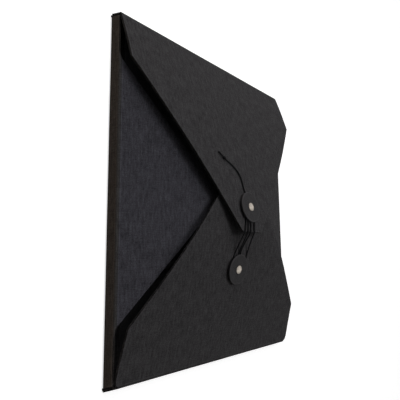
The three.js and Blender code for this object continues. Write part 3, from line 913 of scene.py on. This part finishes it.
def make_button(name, place, normal):
    """A leaning disc with a rounded rim and a shallow hollow round the rivet's head."""
    leaning = Matrix.Rotation(math.radians(DISC_TILT), 3, "Y") @ normal
    profile = [
        (POST_HOLE, BUTTON_LIFT, 0.3),
        (BUTTON_RADIUS - 1.4, BUTTON_LIFT, 0.0),
        *arc((BUTTON_RADIUS - DISC_LIP, BUTTON_LIFT + DISC_LIP), DISC_LIP, -90, 0, 4, 0.0),
        # The upper rim's edge value of 1 makes it paler: a pale cut edge and painted highlight.
        *arc((BUTTON_RADIUS - DISC_LIP, BUTTON_TOP - DISC_LIP), DISC_LIP, 30, 90, 4, 1.0),
        (BUTTON_RADIUS - 0.9, BUTTON_TOP, 0.15),
        (BUTTON_RADIUS - 1.6, BUTTON_TOP - 0.02, 0.0),
        (HEAD_RADIUS + 1.6, BUTTON_TOP - 0.04, 0.0),
        (HEAD_RADIUS + 0.3, BUTTON_TOP - 0.14, 0.0),
        (POST_HOLE, BUTTON_TOP - 0.16, 0.3),
        (POST_HOLE, BUTTON_LIFT, 0.3),
    ]
    button = turned(profile, place, leaning, 96).piece(f"{name}_button", DISC_FIBRE, 60)
    dress(button, "button", f"{name}_button", f"{name}_button")


def make_rivet(name, place, normal):
    """A rivet: its clinched end under the washer, its collar under the disc and its low head."""
    clinch_top = WASHER_BOTTOM - RUNNING_GAP
    clinch_centre = (CLINCH_RADIUS - CLINCH_ROUND, clinch_top - CLINCH_ROUND)
    head_bottom = BUTTON_TOP + RUNNING_GAP
    rim_radius = HEAD_RADIUS - 0.05
    profile = [
        (0, clinch_top - 0.1, 0.8),
        (POST_RADIUS - 0.25, clinch_top - 0.1, 0.9),
        (POST_RADIUS, clinch_top - 2 * CLINCH_ROUND, 0.3),
        *arc(clinch_centre, CLINCH_ROUND, -90, 90, 6, 0.1),
        (POST_RADIUS, clinch_top, 0.8),
        (POST_RADIUS, PIECE_GAP, 0.8),
        (COLLAR_RADIUS, PIECE_GAP, 0.8),
        (COLLAR_RADIUS, BUTTON_LIFT - RUNNING_GAP, 0.8),
        (POST_RADIUS, BUTTON_LIFT - RUNNING_GAP, 0.8),
        (POST_RADIUS, head_bottom, 0.8),
        (HEAD_RADIUS - 0.15, head_bottom, 0.9),
        (HEAD_RADIUS, head_bottom + 0.12, 0.6),
        (rim_radius, head_bottom + HEAD_RIM_HEIGHT, 0.9),
    ]
    for step in range(1, HEAD_STEPS + 1):
        angle = math.pi / 2 * step / HEAD_STEPS
        radius = rim_radius * math.cos(angle) if step < HEAD_STEPS else 0
        # The head darkens towards its rim: painted shade that narrows its bright reflection.
        painted_rim_shade = max(0.0, 1.6 * radius / HEAD_RADIUS - 0.7)
        profile.append((radius, head_bottom + HEAD_RIM_HEIGHT + HEAD_DOME * math.sin(angle), painted_rim_shade))
    rivet = turned(profile, place, normal).piece(f"{name}_rivet", RIVET_METAL, 35)
    dress(rivet, "rivet", f"{name}_rivet", f"{name}_flap")


def make_washer(name, place, normal):
    """The flat washer inside the flap, with rounded rims."""
    outer = WASHER_RADIUS - WASHER_ROUND
    profile = [
        (POST_HOLE, WASHER_BOTTOM, 0.3),
        *arc((outer, WASHER_BOTTOM + WASHER_ROUND), WASHER_ROUND, -90, 0, 3, 0.2),
        *arc((outer, WASHER_TOP - WASHER_ROUND), WASHER_ROUND, 0, 90, 3, 0.2),
        (POST_HOLE, WASHER_TOP, 0.3),
        (POST_HOLE, WASHER_BOTTOM, 0.3),
    ]
    washer = turned(profile, place, normal).piece(f"{name}_washer", RIVET_METAL, 35)
    dress(washer, "rivet", f"{name}_washer", f"{name}_flap")


def make_closures():
    for name, shape in OUTER_SHAPES.items():
        place = on_flap(SIDES[name], shape["rivet"])
        normal = rivet_axis(SIDES[name], shape["rivet"])
        make_button(name, place, normal)
        make_rivet(name, place, normal)
        make_washer(name, place, normal)


# Cord: points at its height over the two outer flaps
def on_top(distance, x, height=CORD_HEIGHT):
    return on_flap(TOP, distance, x, height)


def on_bottom(distance, x):
    return on_flap(BOTTOM, distance, x, CORD_HEIGHT)


# Where the strands cross the top disc's rim, the flap's tip and the bottom flap, from the rivets
STRANDS = {
    "first": {"rim": -3.5, "tip": -5.45, "span": 0.4},
    "second": {"rim": 0.45, "tip": -1.85, "span": 2.4},
    "third": {"rim": -6.6, "tip": -9.6, "span": -4.95},
    "fourth": {"rim": 5.2, "tip": 3.35, "span": 12.0},
}
LANDING = BOTTOM_RIVET + BUTTON_RADIUS + 1.6
TIP_BEND_RADIUS = 3.0
TIP_BEND_STEPS = 4

# Its loops round the rivets, and the points of its free end, from the crease and from the rivets
ANCHOR_RADIUS = 2.8
ANCHOR_ANGLE = 55
TOP_LOOP_RADIUS = 4.8
OUTER_LOOP_RADIUS = 9.8
WINDING_EXIT = [(141, 6.7), (136.4, 4.9), (132.6, 1.0), (129.9, -1.55)]
TAIL = [
    (125.6, -2.9),
    (122.2, -3.4),
    (117.7, -4.3),
    (113.8, -6.3),
    (110.4, -9.6),
    (108.1, -13.1),
    (105.9, -17.1),
    (104.7, -20.2),
]
TAIL_END = (104.1, -22.2)
TAIL_RISE = 0.4
KNOT_TOWARDS = (99.9, -28.6)


def strand(rim, tip, span):
    """A strand's points from the top disc's rim over the flap's tip, and on to the bottom flap."""
    land = on_bottom(LANDING, span)
    u, z, nu, nz = TOP.face(TOP.flap_length)
    corner = Vector((RIVET_X + tip, u, z)) * MM
    slope = math.atan2(nu, nz)
    fall = math.atan2(corner.z + CORD_HEIGHT * MM - land.z, corner.y - land.y) + slope
    over = TIP_BEND_RADIUS - CORD_HEIGHT
    bend = []
    for step in range(TIP_BEND_STEPS + 1):
        angle = fall * step / TIP_BEND_STEPS
        along = (TIP_BEND_RADIUS * math.sin(angle) - over * math.sin(fall / 2)) * MM
        above = (TIP_BEND_RADIUS * math.cos(angle) - over * math.cos(fall / 2)) * MM
        bend.append(corner + Vector((0, above * nu - along * nz, above * nz + along * nu)))
    return [on_top(TOP_RIVET + BUTTON_RADIUS - 1, rim), *bend], [bend[-1], land]


def round_rivet(place, centre, sign, radius, start, end, steps):
    """Points on an arc round a rivet, from one angle to another, in degrees."""
    points = []
    for step in range(steps + 1):
        angle = math.radians(start + (end - start) * step / steps)
        points.append(place(centre + sign * radius * math.sin(angle), radius * math.cos(angle)))
    return points


# Steps along a cord, in millimetres: of its mesh and of the curve that the mesh follows
CORD_STEP = 0.45
CURVE_STEP = 0.2


def curve_point(four, knots, t):
    """A point of a centripetal curve between the middle two of four points."""

    def between(a, b, first, last):
        return a.lerp(b, (t - knots[first]) / (knots[last] - knots[first]))

    before, within, after = (between(four[i], four[i + 1], i, i + 1) for i in range(3))
    return between(between(before, within, 0, 2), between(within, after, 1, 3), 1, 2)


def smooth_line(points):
    """Evenly spaced points on a centripetal curve through the given ones."""
    padded = [2 * points[0] - points[1], *points, 2 * points[-1] - points[-2]]
    fine = []
    for four in zip(padded, padded[1:], padded[2:], padded[3:]):
        knots = [0.0]
        for a, b in zip(four, four[1:]):
            knots.append(knots[-1] + max(math.sqrt((b - a).length), 1e-6))
        parts = max(2, math.ceil((four[2] - four[1]).length / (CURVE_STEP * MM)))
        for part in range(parts):
            fine.append(curve_point(four, knots, knots[1] + (knots[2] - knots[1]) * part / parts))
    fine.append(points[-1].copy())
    lengths = [0.0]
    for a, b in zip(fine, fine[1:]):
        lengths.append(lengths[-1] + (b - a).length)
    count = max(4, round(lengths[-1] / (CORD_STEP * MM)))
    even = []
    place = 0
    for step in range(count + 1):
        target = lengths[-1] * step / count
        while place + 2 < len(lengths) and lengths[place + 1] < target:
            place += 1
        run = max(lengths[place + 1] - lengths[place], 1e-12)
        even.append(fine[place].lerp(fine[place + 1], min(1, (target - lengths[place]) / run)))
    return even


CORD_SIDES = 12
CORD_PLIES = 3
PLY_DEPTH = 0.1


def cord_tube(form, points, radius, taper):
    """A twisted cord through points: round lobes that turn along it, closed at both ends."""
    rings = []
    normal = Vector((0, 0, 1))
    travelled = 0.0
    for place, point in enumerate(points):
        before = points[max(place - 1, 0)]
        after = points[min(place + 1, len(points) - 1)]
        way = (after - before).normalized()
        normal = (normal - way * normal.dot(way)).normalized()
        beside = way.cross(normal)
        if place:
            travelled += (point - points[place - 1]).length
        twist = 2 * math.pi * travelled / (CORD_LAY * MM)
        size = radius * MM * (taper(place / (len(points) - 1)) if taper else 1)
        ring = []
        for step in range(CORD_SIDES):
            angle = 2 * math.pi * step / CORD_SIDES
            lobe = abs(math.cos(CORD_PLIES * (angle - twist) / 2))
            reach = size * (1 - PLY_DEPTH * (1 - lobe))
            position = point + (normal * math.cos(angle) + beside * math.sin(angle)) * reach
            # The lobe is also the point's edge value, which the cord's material turns into a painted
            # sheen on each ply's ridge.
            ring.append(form.point(position, (angle - twist, travelled / MM, 0), lobe))
        rings.append(ring)
    form.join(rings)
    form.faces.append(tuple(rings[0]))
    form.faces.append(tuple(rings[-1]))


def winding(runs, leaving):
    """The winding's points, and those where its strands leave the flap's tip."""
    anchor = round_rivet(on_top, TOP_RIVET, -1, ANCHOR_RADIUS, ANCHOR_ANGLE, 180, 10)
    top_loop = round_rivet(on_top, TOP_RIVET, -1, TOP_LOOP_RADIUS, 0, 180, 14)
    inner_loop = round_rivet(on_bottom, BOTTOM_RIVET, 1, ANCHOR_RADIUS, 180, 360, 14)
    outer_loop = round_rivet(on_bottom, BOTTOM_RIVET, 1, OUTER_LOOP_RADIUS, 180, 360, 18)
    angle = math.radians(ANCHOR_ANGLE)
    lead = Vector((math.sin(angle), -math.cos(angle), 0)) * CORD_DIAMETER * MM
    line = [anchor[0] + lead, *anchor]
    tips = []
    loops = {"first": inner_loop, "second": top_loop, "third": outer_loop, "fourth": leaving}
    for name, loop in loops.items():
        upper, lower = runs[name]
        tips.append(upper[-1])
        if name in ("first", "third"):
            line += [*upper, *lower[1:], *loop]
        else:
            line += [lower[-1], *upper[::-1], *loop]
    return line, tips


def cut_line(points, marks):
    """The stretches of a line between the points that lie nearest to each mark in turn."""
    cuts = [0]
    for mark in marks:
        later = range(cuts[-1] + 1, len(points))
        cuts.append(min(later, key=lambda index: (points[index] - mark).length))
    cuts.append(len(points) - 1)
    return [points[start:end + 1] for start, end in zip(cuts, cuts[1:])]


def cord_piece(name, node, lines, radii=None, taper=None):
    """A piece of cord that rides the top flap, with a tube along each of its lines."""
    form = Form()
    for line, radius in zip(lines, radii or [CORD_DIAMETER / 2] * len(lines)):
        cord_tube(form, line, radius, taper)
    piece = form.piece(name, WAXED_THREAD, 80)
    dress(piece, "cord", node, "top_flap")
    return piece


def make_cord():
    """The winding: its runs and its free spans both ride the top flap."""
    runs = {name: strand(**places) for name, places in STRANDS.items()}
    leaving = [on_top(*place) for place in WINDING_EXIT]
    line, tips = winding(runs, leaving)
    tail = [on_top(*place) for place in TAIL] + [on_top(*TAIL_END, CORD_HEIGHT + TAIL_RISE)]
    stretches = cut_line(smooth_line(line + tail), [*tips, leaving[-1]])
    cord_piece("cord_top_runs", "cord_winding", stretches[0:5:2])
    spans = cord_piece("cord_spans", "cord_winding", stretches[1:4:2])
    tip, landing = runs["first"][1]
    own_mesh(spans)
    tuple(tip)
    make_tail(stretches[5])


def loose_end_taper(share):
    """The loose end frays: it widens along its length, up to its trimmed tip."""
    return 1 + 0.3 * share ** 1.5 if share < 0.93 else 1.0


def make_tail(points):
    """The free tail, its knot and the loose end past the knot."""
    knot_way = (on_top(*KNOT_TOWARDS) - on_top(*TAIL_END)).normalized()
    knot_start = points[-1]
    knot_end = knot_start + knot_way * (KNOT_LENGTH + 2 * PIECE_GAP) * MM
    beside = knot_way.cross(Vector((0, 0, 1))).normalized()
    above = beside.cross(knot_way)
    wound = []
    for step in range(KNOT_STEPS + 1):
        share = step / KNOT_STEPS
        angle = 2 * math.pi * KNOT_TURNS * share
        swell = KNOT_WIND_RADIUS + KNOT_SWELL * math.sin(math.pi * share)
        round_core = (beside * math.cos(angle) + above * math.sin(angle)) * swell * MM
        wound.append(knot_start + knot_way * (0.45 + (KNOT_LENGTH - 0.5) * share) * MM + round_core)
    core = smooth_line([knot_start, knot_start.lerp(knot_end, 0.5), knot_end])
    radii = [KNOT_TURN_RADIUS, KNOT_CORE_RADIUS]
    knot = cord_piece("cord_knot_turns", "cord_knot", [wound, core], radii)
    stub_end = knot_end + knot_way * CORD_END_LENGTH * MM
    stub = smooth_line([knot_end, knot_end.lerp(stub_end, 0.5), stub_end])
    loose_end = cord_piece("cord_loose_end", "cord_end", [stub], taper=loose_end_taper)
    tail = cord_piece("cord_free_tail", "cord_tail", [points])
    length = sum((b - a).length for a, b in zip(points, points[1:]))
    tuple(points[0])


make_cord()
make_back()
make_walls_and_hinges()
make_outer_flaps()
make_side_flaps()
make_closures()


# Studio
LIGHTS_TARGET = (0, 0, 0.02)
OVERHEAD = (-0.15, 0.27, 1.65)
BEYOND_THE_TOP = (-0.5, 1.5, 0.7)


def area_light(name, place, size, power):
    """A round light of a size in metres and a power in watts."""
    data = bpy.data.lights.new(name, "AREA")
    data.shape = "DISK"
    data.size = size
    data.energy = power
    light = bpy.data.objects.new(name, data)
    light.location = place
    way = Vector(LIGHTS_TARGET) - Vector(place)
    light.rotation_euler = way.to_track_quat("-Z", "Y").to_euler()
    bpy.context.scene.collection.objects.link(light)


def seen_plainly(nodes):
    """One where the camera, or a gloss or glass ray, meets this surface."""
    path = nodes.add("ShaderNodeLightPath").outputs
    seen = nodes.math("MAXIMUM", path["Is Camera Ray"], path["Is Glossy Ray"])
    return nodes.math("MAXIMUM", seen, path["Is Transmission Ray"])


# The world's light on the object, the floor's own glow where it is seen, and the floor's colours:
# as it is seen, and warmer in the light that it throws back
WORLD_LEVEL = 0.035
FLOOR_LIFT = 0.62
FLOOR_COLOR = (0.8, 0.8, 0.8, 1)
FLOOR_BOUNCE = (0.8, 0.6, 0.42, 1)
FLOOR_HALF_SIZE = 30
FLOOR_HEIGHT = -0.0003


def make_world():
    world = bpy.data.worlds.new("studio")
    bpy.context.scene.world = world
    nodes = Nodes(world)
    background = nodes.tree.nodes["Background"]
    background.inputs["Color"].default_value = (1, 1, 1, 1)
    level = nodes.ramp(seen_plainly(nodes), 0, 1, WORLD_LEVEL, 1)
    nodes.link(level, background.inputs["Strength"])


def make_floor():
    nodes = Nodes(bpy.data.materials.new("floor"))
    plainly = seen_plainly(nodes)
    base = nodes.add("ShaderNodeMix", data_type="RGBA")
    base.inputs["A"].default_value = FLOOR_BOUNCE
    base.inputs["B"].default_value = FLOOR_COLOR
    nodes.link(plainly, base.inputs["Factor"])
    nodes.link(base.outputs["Result"], nodes.shader.inputs["Base Color"])
    nodes.shader.inputs["Roughness"].default_value = 0.9
    nodes.shader.inputs["Specular IOR Level"].default_value = 0.1
    nodes.shader.inputs["Emission Color"].default_value = (1, 1, 1, 1)
    nodes.link(nodes.math("MULTIPLY", plainly, FLOOR_LIFT), nodes.shader.inputs["Emission Strength"])
    mesh = bpy.data.meshes.new("floor")
    ways = ((-1, -1), (1, -1), (1, 1), (-1, 1))
    corners = [(x * FLOOR_HALF_SIZE, y * FLOOR_HALF_SIZE, FLOOR_HEIGHT) for x, y in ways]
    mesh.from_pydata(corners, [], [(0, 1, 2, 3)])
    mesh.materials.append(nodes.owner)
    floor = bpy.data.objects.new("floor", mesh)
    bpy.context.scene.collection.objects.link(floor)


make_world()
make_floor()
area_light("key", OVERHEAD, 0.35, 6.3)
area_light("soft", OVERHEAD, 1.9, 9.9)
area_light("fill", BEYOND_THE_TOP, 1.0, 8.9)

bpy.context.scene.view_settings.view_transform = "Standard"
